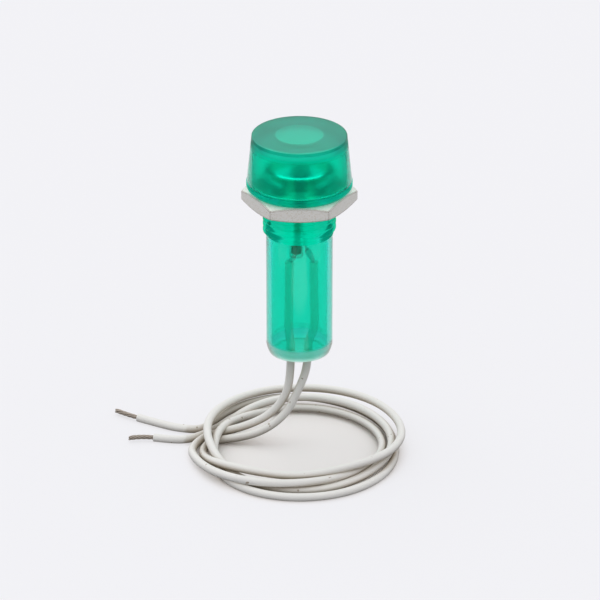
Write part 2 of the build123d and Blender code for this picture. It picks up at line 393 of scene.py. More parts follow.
def flow_effect():
    """Slow cloudy variation: the mask is broad noise, and the height is that and a quarter of fine noise."""
    flow = Effect("moulding flow", {"Scale": 200.0, "Fine Scale": 1500.0}, ("Mask", "Height"))
    broad, fine = [
        flow.add("ShaderNodeTexNoise", Vector=flow.given["Vector"], Scale=flow.given[scale]).outputs["Fac"]
        for scale in ("Scale", "Fine Scale")]
    flow.feed(flow.result["Mask"], broad)
    flow.feed(flow.result["Height"], flow.maths("MULTIPLY_ADD", fine, 0.25, broad))
    return flow.tree


def speck_effect():
    """Small scattered specks: noise cut by a high threshold, so only its peaks remain."""
    specks = Effect("specks", {"Scale": 900.0, "Threshold": 0.7, "Softness": 0.03}, ("Mask",))
    given = specks.given
    noise = specks.add("ShaderNodeTexNoise", Vector=given["Vector"], Scale=given["Scale"], Detail=1.0)
    upper = specks.maths("ADD", given["Threshold"], given["Softness"])
    specks.feed(specks.result["Mask"], specks.ease(noise.outputs["Fac"], given["Threshold"], upper))
    return specks.tree


def zone_effect():
    """A mask that is one inside a ring-shaped zone about the vertical axis: radius and height are each
    eased from nought to one over Soft at both of their limits, and the four are multiplied."""
    limits = {"Inner": 0.0, "Outer": 1.0, "Low": -1.0, "High": 1.0, "Soft": 0.0001}
    zone = Effect("ring zone", limits, ("Mask",))
    given = zone.given
    height = zone.add("ShaderNodeSeparateXYZ", Vector=given["Vector"]).outputs["Z"]
    flat = zone.add("ShaderNodeVectorMath", operation="MULTIPLY")
    zone.feed(flat.inputs[0], given["Vector"])
    zone.feed(flat.inputs[1], (1, 1, 0))
    length = zone.add("ShaderNodeVectorMath", operation="LENGTH")
    zone.feed(length.inputs[0], flat.outputs["Vector"])
    radius = length.outputs["Value"]
    mask = 1.0
    for value, limit, operation in ((radius, "Inner", "SUBTRACT"), (radius, "Outer", "ADD"),
                                    (height, "Low", "SUBTRACT"), (height, "High", "ADD")):
        edge = zone.maths(operation, given[limit], given["Soft"])
        mask = zone.maths("MULTIPLY", mask, zone.ease(value, edge, given[limit]))
    zone.feed(zone.result["Mask"], mask)
    return zone.tree


# ---- materials ----

EDGE_TINT = (0.9, 0.42, 0.36)    # how much deeper the plastic's colour is where it is seen edge on
COIL_PAINTED_SHADE = (0.37, 0.305, 0.215)    # painted shade: the insulation's brown where turns of the coil stand close
BROWN_EDGE = (0.22, 0.16, 0.11)    # the nut's darker brown colour along its edges
GREEN_SHEEN = (0.1, 0.9, 0.8)    # tint of the plastic's gloss
EVERYWHERE = 20 * MM    # a reach that takes in the whole housing

# a ring of the plastic that differs in colour and roughness
Zone = namedtuple("Zone", "inner outer low high soft colour roughness")
# painted light standing for light piped to an edge, or painted shade where its colour is negative: a ring
# that shows only within a reach of the point at y = centre
Glow = namedtuple("Glow", "inner outer low high soft colour centre reach", defaults=(0, EVERYWHERE))


def ring_mask(shader, place, ring):
    """The mask of a Zone's or a Glow's ring."""
    return shader.zone(place, Inner=ring.inner, Outer=ring.outer, Low=ring.low, High=ring.high,
                       Soft=ring.soft)


def green_plastic(name, green, zones, glows, roughness, clear, index=1.49, sheen=GREEN_SHEEN,
                  outer_wall=0.0):
    """Translucent green plastic with faint flow lines in its colour and surface, its zones, and its
    glows of painted light. Outside the radius outer_wall the colour deepens where the surface is seen edge
    on."""
    shader = Shader(name, IOR=index, Transmission_Weight=clear, Specular_Tint=sheen, Emission_Strength=1.0)
    place = shader.coordinates()
    flow = shader.effect("flow", place, Scale=260.0, Fine_Scale=1800.0)
    colour = shader.mix(flow["Mask"], shade(green, 0.94), green)
    rough = shader.ramp(flow["Mask"], To_Min=roughness * 0.8, To_Max=roughness * 1.3)
    for zone in zones:
        mask = ring_mask(shader, place, zone)
        colour = shader.mix(mask, colour, zone.colour)
        rough = shader.mix(mask, rough, zone.roughness, "FLOAT")
    edge_on = shader.ease(shader.add("ShaderNodeLayerWeight", Blend=0.5).outputs["Facing"], 0.4, 0.85)
    deep = shader.maths("MULTIPLY", edge_on, shader.zone(place, Inner=outer_wall))
    # painted light: each glow's emission, added where its ring and its reach meet
    light = (0, 0, 0)
    for glow in glows:
        spot = shader.coordinates(shift=(0, -glow.centre, 0))
        near = shader.zone(spot, Outer=glow.reach, Soft=glow.reach * 0.4)
        share = shader.maths("MULTIPLY", ring_mask(shader, place, glow), near)
        light = shader.mix(share, light, glow.colour, blend="ADD")
    bump = shader.add("ShaderNodeBump", Height=flow["Height"], Distance=0.03 * MM, Strength=0.3)
    shader.give(Base_Color=shader.mix(deep, colour, EDGE_TINT, blend="MULTIPLY"), Roughness=rough,
                Emission_Color=light, Normal=bump.outputs["Normal"])
    return shader.material


def nickel_plate(colour):
    """Dull nickel over turned steel: fine grain, faint brown spots and edges, varied roughness."""
    shader = Shader("nickel plate", Metallic=0.12)
    place = shader.coordinates()
    specks = shader.effect("specks", place, Scale=6000.0, Threshold=0.52, Softness=0.2)
    flow = shader.effect("flow", place, Scale=900.0, Fine_Scale=5200.0)
    spotted = shader.mix(specks["Mask"], colour, shade(colour, (0.80, 0.76, 0.68)))
    # brown along the edges, where ambient occlusion inside the metal finds them
    off_edge = shader.ramp(shader.openness(0.3 * MM, inside=True, only_local=True), From_Min=0.70, From_Max=0.96)
    return shader.finish(flow, shader.mix(off_edge, BROWN_EDGE, spotted), rough=(0.35, 0.5),
                         relief=0.02 * MM, strength=0.5)


def lead_insulation(colour):
    """White vinyl insulation with a few brown specks, soft gloss and a faint unevenness. It has painted
    brown shade where the coil's turns stand close, less on the free ends, and painted light in the barrel's
    end."""
    shader = Shader("white insulation", Specular_IOR_Level=0.4, IOR=1.5, Emission_Strength=1.0)
    place = shader.coordinates()
    # painted light: a glow on the leads inside the barrel's end and just below it
    inside = shader.zone(place, Outer=3.6 * MM, Low=BODY_LOW[2] - 1.2 * MM, Soft=0.8 * MM)
    shader.give(Emission_Color=shader.mix(inside, (0, 0, 0), (0.45, 0.45, 0.42)))
    specks = shader.effect("specks", place, Scale=1000.0, Threshold=0.735, Softness=0.04)
    flow = shader.effect("flow", place, Scale=350.0, Fine_Scale=2500.0)
    spotted = shader.mix(specks["Mask"], colour, shade(colour, (0.5, 0.43, 0.36)))
    # painted shade: ambient occlusion within 7 mm turns the insulation brown, less off the coil
    coil = shader.zone(place, Outer=20 * MM, Soft=MM, High=BODY_LOW[2])
    free = shader.ramp(coil, To_Min=0.5, To_Max=0)
    share = shader.maths("ADD", shader.openness(7 * MM), free)
    return shader.finish(flow, shader.mix(share, COIL_PAINTED_SHADE, spotted), rough=(0.38, 0.55),
                         relief=0.03 * MM, strength=0.4)


def plain_metal(name, colour, roughness, metallic=1.0):
    """Wire, solder or electrode metal with fine variation, and painted shade in its creases."""
    shader = Shader(name, Metallic=metallic)
    flow = shader.effect("flow", shader.coordinates(), Scale=1600.0, Fine_Scale=8000.0)
    varied = shader.mix(flow["Mask"], shade(colour, 0.7), colour)
    # painted shade: ambient occlusion within 0.6 mm darkens the creases to brown
    crease_shaded = shader.mix(shader.openness(0.6 * MM), shade(colour, (0.2, 0.15, 0.11)), varied)
    return shader.finish(flow, crease_shaded, rough=(roughness * 0.8, roughness * 1.2), relief=0.01 * MM,
                         strength=0.5)


def soft_plastic(name, colour, roughness, clear=0.0, index=1.5, glow=(0, 0, 0)):
    """Sleeving, lacquer or resin: one colour with cloudy variation, clear or not, with a faint glow of
    painted light.
    """
    shader = Shader(name, Transmission_Weight=clear, IOR=index, Emission_Color=glow,
                    Emission_Strength=1.0)
    flow = shader.effect("flow", shader.coordinates(), Scale=500.0, Fine_Scale=3000.0)
    cloudy = shader.mix(flow["Mask"], shade(colour, 0.8), colour)
    return shader.finish(flow, cloudy, rough=(roughness * 0.8, roughness * 1.2), relief=0.02 * MM,
                         strength=0.4)


def lamp_glass():
    """Clear thin glass with faint smoke."""
    shader = Shader("lamp glass", Transmission_Weight=1.0, IOR=1.2)
    flow = shader.effect("flow", shader.coordinates(), Scale=400.0, Fine_Scale=2000.0)
    shader.give(Base_Color=shader.mix(flow["Mask"], (0.52, 0.58, 0.54), (0.66, 0.72, 0.68)),
                Roughness=shader.ramp(flow["Mask"], To_Min=0.02, To_Max=0.08))
    return shader.material


# ---- the pieces ----

CAP_SEAT = 0.03 * MM    # lift of the cap's foot, which leaves a fine line over the flange
CAP_TAPER = 0.88 * MM    # how much narrower the cap is at its top
EYE_DEPTH = 0.55 * MM    # how far the thin disc is let into the roof from below
FLANGE_TOP = 1.5 * MM
FLANGE_EDGE = 0.62 * MM    # height at which the flange starts to draw in downwards
FLANGE_DRAW = 0.58 * MM    # how much narrower the flange is at its foot
REGISTER_TOP = 2.0 * MM    # top of the step that the cap's wall fits round
THREAD_PHASE = math.radians(310)    # where round the barrel the thread runs out
ROWS_PER_PITCH = 22


class INDICATOR_OT_lens_cap(bpy.types.Operator):
    """Turn the tapered lens cap with its thin round eye"""
    bl_idname = "indicator.lens_cap"
    bl_label = "Lens cap"

    def execute(self, context):
        size = context.scene.indicator_housing
        top, base = CAP_HIGH[2], CAP_LOW[2] + CAP_SEAT
        base_r = CAP_HIGH[0]
        top_r = base_r - CAP_TAPER
        inner = base_r - size.cap_wall
        under = top - size.cap_roof
        inner_top = inner - CAP_TAPER * (under - base) / (top - base)
        outline = rounded([
            (0, top, 0), (top_r, top, 0.2 * MM), (base_r, base, 0.1 * MM), (inner, base, 0.1 * MM),
            (inner_top, under, 0.9 * MM), (size.eye_radius, under, 0.25 * MM),
            (size.eye_radius, under + EYE_DEPTH, 0.25 * MM), (0, under + EYE_DEPTH, 0)])
        green = (0.005, 0.97, 0.73)
        face = top - 0.1 * MM
        inside = Zone(0, inner, base, under, 0.1 * MM, green, 0.3)
        roof = Zone(0, top_r, under - 0.8 * MM, 1, 0.4 * MM, (0.005, 0.86, 0.66), 0.45)
        ring = Zone(size.eye_radius, top_r, under, 1, 0.35 * MM, (0.02, 0.64, 0.50), 0.5)
        edge = Zone(top_r - 0.05 * MM, base_r, top - 0.6 * MM, top - 0.15 * MM, 0.1 * MM,
                    (0.004, 0.4, 0.27), 0.3)
        # painted light: glows on the front's shoulder and foot, the roof and its eye, and the back wall
        glows = [
            Glow(top_r - 0.2 * MM, base_r, under + 0.3 * MM, face, 0.5 * MM, (0, 0.11, 0.06),
                 -8 * MM, 5 * MM),
            Glow(inner - 0.2 * MM, base_r, base + 0.12 * MM, base + 0.4 * MM, 0.05 * MM, (0, 0.08, 0.05),
                 -base_r, 6 * MM),
            Glow(0, top_r, face, 1, 0.05 * MM, (0.035, 0.005, 0.015)),
            Glow(0, top_r, face, 1, 0.05 * MM, (0, 0.04, 0.03), -5 * MM, 6 * MM),
            Glow(0, size.eye_radius, face, 1, 0.25 * MM, (0, 0.03, 0.02)),
            Glow(inner - 0.5 * MM, base_r, base, under, 0.3 * MM, (0, 0.04, 0.028), base_r, base_r)]
        plastic = green_plastic("green lens", green, [inside, roof, ring, edge], glows, roughness=0.1,
                                clear=0.93)
        mesh = turned("lens_cap_skin", outline)
        piece("lens_cap_skin", mesh, plastic, "lens_green", "lens_cap")
        return {"FINISHED"}


class INDICATOR_OT_threaded_body(bpy.types.Operator):
    """Turn the flange, spigot and barrel, with a helical thread that runs out"""
    bl_idname = "indicator.threaded_body"
    bl_label = "Threaded body"

    def execute(self, context):
        size = context.scene.indicator_housing
        mesh = self.shape(size)
        two_tone(mesh, self.barrel_plastic(size), self.thread_plastic(size),
                 lambda height: height > size.thread_end)
        piece("threaded_body_skin", mesh, None, "body_green", "threaded_body")
        return {"FINISHED"}

    @staticmethod
    def root_radius(size):
        """Radius at the thread's root, which is the barrel's radius too."""
        return size.thread_radius - size.thread_depth

    @staticmethod
    def step_radius(size):
        """Radius of the step that the cap's wall fits round."""
        return CAP_HIGH[0] - size.cap_wall - 0.1 * MM

    def shape(self, size):
        """One closed outline, turned: up the bore, over the spigot, register and flange, down the
        thread's rows, whose radius follows the ridge, and round the barrel's open end."""
        root, register = self.root_radius(size), self.step_radius(size)
        flange = BODY_HIGH[0]
        top, bottom = BODY_HIGH[2], BODY_LOW[2]
        start, end = -0.2 * MM, size.thread_end - 0.5 * MM
        spigot = root + 0.05 * MM
        above = rounded([
            (root, end, 0), (size.bore, end, 0), (size.bore, top, 0.12 * MM), (spigot, top, 0.25 * MM),
            (spigot, REGISTER_TOP, 0.3 * MM), (register, REGISTER_TOP, 0.1 * MM),
            (register, FLANGE_TOP, 0.05 * MM), (flange, FLANGE_TOP, 0.12 * MM),
            (flange, FLANGE_EDGE, 0.3 * MM), (flange - FLANGE_DRAW, 0, 0.1 * MM), (root, 0, 0.1 * MM)])[2:]
        heights = np.arange(start, end, -size.thread_pitch / ROWS_PER_PITCH)
        thread = np.stack([np.full_like(heights, root), heights], axis=1)
        below = rounded([
            (root, end, 0), (root, bottom + 1.3 * MM, 1.5 * MM), (root - 0.42 * MM, bottom, 0.22 * MM),
            (size.bore, bottom, 0.06 * MM), (size.bore, end, 0)])[1:-1]
        outline = np.concatenate([above, thread, below])
        in_thread = np.zeros((len(outline), 1))
        in_thread[len(above):len(above) + len(thread)] = 1
        angle = np.linspace(0, 2 * math.pi, 192, endpoint=False)
        radius = outline[:, 0:1] + in_thread * self.ridge(outline[:, 1:2], angle, size)
        grid = np.stack([radius * np.cos(angle), radius * np.sin(angle),
                         np.repeat(outline[:, 1:2], len(angle), axis=1)], axis=-1)
        return skin("threaded_body_skin", grid, wrap_rows=True, smooth=40)

    @staticmethod
    def ridge(height, angle, size):
        """How far the thread stands out at a height and an angle. The nearest ridge's middle
        rises one pitch in a turn; the ridge has a flat crest, straight flanks and a narrow root,
        and fades where its middle comes near either end of the thread."""
        part_turn = (angle - THREAD_PHASE) / (2 * math.pi)
        turn = (height - size.thread_end) / size.thread_pitch - part_turn
        middle = np.round(turn)
        off = np.abs(turn - middle)
        shape = np.clip((0.46 - off) / 0.34, 0, 1)
        shape = shape * shape * (3 - 2 * shape) * 0.35 + shape * 0.65
        rise = (middle + part_turn) * size.thread_pitch + size.thread_end
        low = np.clip((rise - size.thread_end) / (0.6 * size.thread_pitch), 0, 1)
        high = np.clip((-0.3 * MM - rise) / (0.5 * size.thread_pitch), 0, 1)
        return size.thread_depth * shape * low * high

    def barrel_plastic(self, size):
        """Plain plastic for the barrel and the bore, paler at the open end, with painted light there."""
        root, bottom = self.root_radius(size), BODY_LOW[2]
        end_face = Zone(0, 1, -1, bottom + 1.9 * MM, 0.5 * MM, (0.50, 0.80, 0.72), 0.4)
        # painted light: two glows in the wall at the open end
        glows = [
            Glow(size.bore, root, -1, bottom + 1.9 * MM, 0.6 * MM, (0.03, 0.022, 0.027)),
            Glow(size.bore, root, -1, bottom + 0.5 * MM, 0.5 * MM, (0.05, 0.07, 0.065))]
        return green_plastic("green barrel", size.green, [end_face], glows, roughness=0.1, clear=0.97,
                             sheen=(1, 1, 1), outer_wall=size.bore + 0.4 * MM)

    def thread_plastic(self, size):
        """Deeper plastic for the thread, the flange and the spigot, with painted light in their edges."""
        root, register = self.root_radius(size), self.step_radius(size)
        flange, top = BODY_HIGH[0], BODY_HIGH[2]
        thread = (root - 0.2 * MM, flange, size.thread_end, NUT_LOW[2], 0.1 * MM)
        run_out = (root - 0.2 * MM, flange, size.thread_end, size.thread_end + 2 * MM, 0.8 * MM)
        flange_side = (flange - 0.8 * MM, flange, 0, 1.45 * MM, 0.2 * MM)
        # painted light on the spigot's front rim, the flange and its top, and the thread, fainter towards the
        # front below, where the last glow is negative and paints shade
        glows = [
            Glow(size.bore - 0.1 * MM, 5.3 * MM, top - 0.4 * MM, 1, 0.1 * MM, (0.3, 1.5, 1.35),
                 -5.2 * MM, 3.5 * MM),
            Glow(*flange_side, (0, 0.08, 0.055)),
            Glow(6.1 * MM, register, 1.4 * MM, 2.1 * MM, 0.1 * MM, (0, 0.09, 0.06)),
            Glow(*flange_side, (0, 0.06, 0.05), flange, 13 * MM),
            Glow(*thread, (0, 0.11, 0.06)),
            Glow(*thread, (0, 0.04, 0.015), -6 * MM, 3 * MM),
            Glow(*run_out, (0, 0.13, 0.09)),
            Glow(*run_out, (0, -0.13, -0.09), -6 * MM, 4.6 * MM)]
        upper = Zone(0, flange + 0.1 * MM, 0.1 * MM, 1, 0.1 * MM, (0.015, 0.75, 0.60), 0.35)
        lower = Zone(0, *run_out[1:], (0.005, 0.29, 0.19), 0.35)
        spigot = Zone(size.bore - MM, 6 * MM, 1.7 * MM, top - 0.2 * MM, 0.2 * MM, (0.005, 0.50, 0.35), 0.45)
        return green_plastic("green thread", (0.006, 0.39, 0.265), [upper, lower, spigot], glows,
                             roughness=0.35, clear=0.97, index=1.08, outer_wall=root + 0.5 * MM)


class INDICATOR_OT_hex_nut(bpy.types.Operator):
    """Shape the chamfered hexagon nut"""
    bl_idname = "indicator.hex_nut"
    bl_label = "Hex nut"

    def execute(self, context):
        size = context.scene.indicator_metal
        top, bottom = NUT_HIGH[2], NUT_LOW[2]
        bore = context.scene.indicator_housing.thread_radius + 0.08 * MM
        countersink = 0.42 * MM
        mouth = bore + countersink
        angle = np.linspace(0, 2 * math.pi, 240, endpoint=False)
        # a flat's distance is half the size across flats over the cosine of the angle from its middle,
        # and the corners are drawn in; past the face's circle the chamfer falls by its slope
        side = size.across_flats / 2 / np.cos(angle % (math.pi / 3) - math.pi / 6)
        corner = size.across_flats / 2 / math.cos(math.pi / 6)
        side = side - 0.05 * MM * np.exp(-((side - corner) / (0.12 * MM)) ** 2)
        slope = math.tan(size.chamfer)
        fall = np.maximum(side - size.face_radius, 0) * slope
        ease = 0.07 * MM

        def ring(radius, height):
            return np.stack([radius * np.cos(angle), radius * np.sin(angle), height + 0 * angle], axis=-1)

        def cone(share, level, sign):
            radius = size.face_radius + (side - ease - size.face_radius) * share
            return ring(radius, level - sign * np.maximum(radius - size.face_radius, 0) * slope)

        shares = (0.0, 0.03, 0.35, 0.7, 1.0)
        rows = [ring(bore, bottom + countersink), ring(mouth, bottom)]
        rows += [cone(share, bottom, -1) for share in shares]
        rows += [ring(side, bottom + fall + ease), ring(side, top - fall - ease)]
        rows += [cone(share, top, 1) for share in reversed(shares)]
        rows += [ring(mouth, top), ring(bore, top - countersink)]
        mesh = skin("hex_nut_skin", np.array(rows), wrap_rows=True, smooth=18)
        piece("hex_nut_skin", mesh, nickel_plate(size.nickel), "nickel_plate", "hex_nut")
        return {"FINISHED"}


class INDICATOR_OT_lamp(bpy.types.Operator):
    """Blow the lamp's glass, and finish the electrodes, resistor, wires and joints"""
    bl_idname = "indicator.lamp"
    bl_label = "Lamp and resistor"

    def execute(self, context):
        x = (LAMP_LOW[0] + LAMP_HIGH[0]) / 2
        r = (LAMP_HIGH[0] - LAMP_LOW[0]) / 2
        low, high = LAMP_LOW[2], LAMP_HIGH[2]
        wall = 0.35 * MM
        foot = low + 1.4 * MM    # the pressed foot's top
        dome = high - wall - r    # where the dome starts
        # a dome goes out by the radius times the cosine of its rise, and up by the radius times the sine
        rise = np.linspace(0, math.pi / 2, 14)
        tip = [(0.0, high), (0.12 * MM, high - 0.03 * MM), (0.3 * MM, high - 0.25 * MM)]
        outer = np.stack([r * np.cos(rise), dome + r * np.sin(rise)], axis=1)[::-1][2:]
        inner = np.stack([(r - wall) * np.cos(rise), dome + (r - wall) * np.sin(rise)], axis=1)
        base = rounded([(r, foot, 0), (r, low, 0.3 * MM), (0, low, 0)])
        outline = np.concatenate([tip, outer, base])
        hollow = np.concatenate([[(0, foot), (r - wall, foot)], inner])
        outside = turned("lamp_envelope_skin", outline, 64, x)
        inside = turned("lamp_hollow", hollow, 64, x)
        inside.flip_normals()
        glass = joined("lamp_envelope_skin", [outside, inside])
        piece("lamp_envelope_skin", glass, lamp_glass(), "lamp_glass", "lamp_envelope")
        dress(plain_metal("electrode nickel", (0.12, 0.11, 0.10), 0.5), "electrode_a", "electrode_b")
        dress(plain_metal("tinned wire", (0.85, 0.83, 0.80), 0.35, 0.8), "lamp_lead_a", "lamp_lead_b",
              "resistor_lead_upper", "resistor_lead_lower", "strands_a", "strands_b")
        dress(plain_metal("solder", (0.88, 0.88, 0.86), 0.35, 0.8), "solder_joint", "splice_a", "splice_b")
        # painted light: a faint green glow on the resistor's lacquer
        lacquer = soft_plastic("resistor lacquer", (0.03, 0.09, 0.06), 0.35, glow=(0, 0.06, 0.02))
        dress(lacquer, "resistor_body")
        sleeving = soft_plastic("grey sleeving", (0.75, 0.90, 0.86), 0.2, clear=0.95, index=1.15)
        dress(sleeving, "resistor_sleeve")
        return {"FINISHED"}


class INDICATOR_OT_seal(bpy.types.Operator):
    """Pour the potting with its meniscus, and finish the leads inside the barrel"""
    bl_idname = "indicator.seal"
    bl_label = "End seal"

    def execute(self, context):
        r, top, bottom = SEAL_HIGH[0], SEAL_HIGH[2], SEAL_LOW[2]
        outline = rounded([
            (0, top - 0.3 * MM, 0), (r - 0.6 * MM, top - 0.25 * MM, 1.5 * MM), (r, top, 0.02 * MM),
            (r, bottom, 0.1 * MM), (0, bottom + 0.15 * MM, 0)])
        mesh = turned("end_seal_skin", outline)
        resin = soft_plastic("clear resin", (1, 1, 1), 0.02, clear=1.0, index=1.01)
        underside = soft_plastic("resin underside", (0.003, 0.68, 0.44), 0.02, clear=1.0, index=1.01)
        two_tone(mesh, resin, underside, lambda height: height < bottom + 0.2 * MM)
        piece("end_seal_skin", mesh, None, "seal_resin", "end_seal")
        # painted light: a faint green glow on the inner leads
        inner = soft_plastic("inner insulation", (0.16, 0.76, 0.70), 0.4, clear=0.9, index=1.12,
                             glow=(0, 0.05, 0.03))
        dress(inner, "inner_lead_a", "inner_lead_b")
        return {"FINISHED"}


# each lead: points down from the seal, the coil's stations, then points out to the cut insulation
DROP_A = [(-1.5, 0, -30.9), (-1.5, 0, -35.2), (-2.2, 0.1, -40.2), (-4.9, 0.5, -44.3),
          (-9.1, 1.0, -46.9), (-13.7, 1.1, -48.3), (-16.8, 0.4, -48.7)]
DROP_B = [(1.5, 0, -30.9), (1.5, 0, -34.6), (-0.1, -0.45, -38.9), (-2.3, -0.9, -43.6),
          (-6.4, -1.2, -46.9), (-10.9, -1.2, -48.3), (-15.0, -1.2, -48.7), (-16.3, -2.4, -48.7)]
TAIL_A = [(-17.3, 2.7, 0.755), (-21.8, 3.4, 0.755), (-25.6, 5.4, 0.755), (-29.0, 7.4, 0.755)]
TAIL_B = [(-14.4, 3.9, 0.755), (-16.9, 1.1, 0.755), (-19.9, -1.0, 0.755), (-23.2, -0.9, 0.755),
          (-25.9, -0.2, 0.755)]
TIP_A = (-33.2, 10.3, 0.755)
TIP_B = (-30.4, -0.4, 0.755)

# stations of each coil: angle round its centre in degrees, radius and height over the floor in mm
COIL_A = [(183, 18.8, 1.0), (195, 18.8, 1.5), (225, 18.4, 2.2), (250, 16.8, 2.3), (270, 15.9, 2.2),
          (300, 15.6, 2.3), (330, 15.4, 2.1), (360, 15.3, 1.3), (405, 15.0, 1.0), (450, 14.8, 1.0),
          (480, 14.5, 0.9), (495, 14.2, 1.1), (510, 14.0, 2.0), (525, 14.2, 2.75), (540, 14.3, 2.2),
          (555, 15.0, 1.2), (570, 16.2, 0.76), (585, 17.3, 0.76), (610, 18.3, 0.76), (630, 18.6, 0.76),
          (660, 18.8, 0.76), (690, 18.3, 0.76), (720, 17.4, 0.76), (765, 17.6, 1.2), (810, 18.1, 1.6),
          (850, 17.8, 1.4), (865, 17.9, 0.9)]
COIL_B = [(187.5, 16.95, 0.8), (195, 17.1, 1.0), (205, 17.0, 1.8), (210, 16.8, 2.4), (217, 16.2, 2.8),
          (225, 15.6, 3.0), (250, 14.2, 2.8), (270, 13.9, 2.4), (300, 14.9, 3.6), (315, 16.2, 3.8),
          (330, 17.4, 3.7), (345, 18.4, 3.6), (360, 18.8, 3.3), (405, 19.1, 3.2), (450, 18.9, 2.9),
          (480, 18.4, 2.9), (510, 17.1, 3.2), (525, 16.4, 3.4), (540, 15.7, 3.5), (555, 15.5, 3.0),
          (570, 15.3, 2.0), (585, 15.4, 0.9), (610, 15.7, 0.76), (630, 16.1, 0.76), (660, 16.6, 1.0),
          (690, 17.0, 2.1), (720, 17.05, 2.2), (765, 16.2, 2.6), (810, 15.6, 2.8), (840, 15.4, 2.1),
          (860, 15.5, 0.9)]
POINTS_PER_TURN = 24


def coil_turns(stations):
    """The coil's points, a fixed number for each turn: radius and height are eased between stations."""
    table = np.array(stations, dtype=float)
    first, last = table[0, 0], table[-1, 0]
    count = int(round((last - first) * POINTS_PER_TURN / 360)) + 1
    angle = np.linspace(first, last, count)
    reach = np.interp(angle, table[:, 0], table[:, 1])
    height = np.interp(angle, table[:, 0], table[:, 2])
    soft = np.array([0.2, 0.6, 0.2])
    for values in (reach, height):
        values[1:-1] = np.convolve(values, soft, mode="valid")
    turn = np.radians(angle)
    return np.stack([COIL_CENTRE[0] + reach * MM * np.cos(turn), COIL_CENTRE[1] + reach * MM * np.sin(turn),
                     FLOOR_Z + height * MM], axis=1)


def lead_line(name, drop, stations, tail):
    """The lead's smooth line: a spline with the route's points as control points, read back."""
    on_floor = np.array(tail) * MM + (0, 0, FLOOR_Z)
    points = np.concatenate([np.array(drop) * MM, coil_turns(stations), on_floor])
    curve = bpy.data.curves.new(name, "CURVE")
    curve.dimensions = "3D"
    spline = curve.splines.new("NURBS")
    spline.points.add(len(points) - 1)
    spline.points.foreach_set("co", np.column_stack([points, np.ones(len(points))]).ravel())
    spline.order_u = 3
    spline.use_endpoint_u = True
    spline.resolution_u = 12
    carrier = bpy.data.objects.new(name, curve)
    line = bpy.data.meshes.new_from_object(carrier)
    points = np.empty(len(line.vertices) * 3)
    line.vertices.foreach_get("co", points)
    bpy.data.objects.remove(carrier)
    bpy.data.meshes.remove(line)
    return points.reshape(-1, 3)


class INDICATOR_OT_leads(bpy.types.Operator):
    """Lay the two leads and twist their bare strands"""
    bl_idname = "indicator.leads"
    bl_label = "Leads"

    def execute(self, context):
        size = context.scene.indicator_leads
        white = lead_insulation(size.insulation)
        bare = plain_metal("bare strands", (0.52, 0.45, 0.38), 0.4, 0.5)
        for side, drop, stations, tail, tip, nodes in (
                ("a", DROP_A, COIL_A, TAIL_A, TIP_A, ("lead_a_drop", "lead_a_tail", "lead_coil")),
                ("b", DROP_B, COIL_B, TAIL_B, TIP_B, ("lead_b_drop", "lead_b_tail"))):
            line = lead_line("lead_line_" + side, drop, stations, tail)
            tube = self.insulated(line, size.diameter / 2)
            cord = piece("lead_" + side, skin("lead_" + side, tube), white, "lead_white", *nodes)
            target = np.array(tip) * MM + (0, 0, FLOOR_Z)
            strands = self.strands(line[-1], target, line[-1] - line[-6], size)
            bundle = piece("strands_" + side + "_skin", strands, bare, "bare_strands", "conductor_" + side)
        return {"FINISHED"}

    @staticmethod
    def insulated(line, radius):
        """A tube whose radius swells and thins by one part in a hundred, and whose cut end closes
        on the conductor: the last rings stand at the end with shrinking radii."""
        along = np.arange(len(line))
        radii = radius * (1 + 0.01 * np.sin(along * 0.21) * np.sin(along * 0.053))
        step = line[-1] - line[-2]
        step /= np.linalg.norm(step)
        ends = line[-1] + step * 1e-6 * np.arange(1, 5)[:, None]
        start = line[0] - (line[1] - line[0]) * 1e-3
        rings = np.concatenate([[0], radii, radius * np.array([0.97, 0.9, 0.5, 0])])
        return carried(np.concatenate([[start], line, ends]), rings)

    @staticmethod
    def strands(start, tip, heading, size):
        """Round strands in one mesh: each follows a helix about a gently bent middle line, the helix
        opens a little towards the tip, and the strands end at slightly different lengths."""
        heading = heading / np.linalg.norm(heading)
        reach = np.linalg.norm(tip - start)
        t = np.linspace(-0.15, 1, 60)[:, None]
        bend = start + heading * reach * 0.5
        middle = (1 - t) ** 2 * start + 2 * t * (1 - t) * bend + t ** 2 * tip
        across = np.cross(heading, (0, 0, 1))
        across /= np.linalg.norm(across)
        up = np.cross(across, heading)
        meshes = []
        for k in range(size.strand_count + 1):
            out = 0 if k == 0 else size.strand * (0.98 + 0.1 * t)
            turn = 2 * math.pi * (k / size.strand_count + 0.85 * t)
            line = middle + out * (np.cos(turn) * across + np.sin(turn) * up)
            count = len(t) - (k * 2) % 5
            radii = [0, *[size.strand / 2] * (count - 1), size.strand * 0.3, 0]
            path = np.concatenate([line[:1], line[:count], line[count - 1:count]])
            path[0] -= heading * 1e-6
            path[-1] += heading * 2e-6
            meshes.append(skin("strand", carried(path, radii, 10)))
        return joined("strands", meshes)


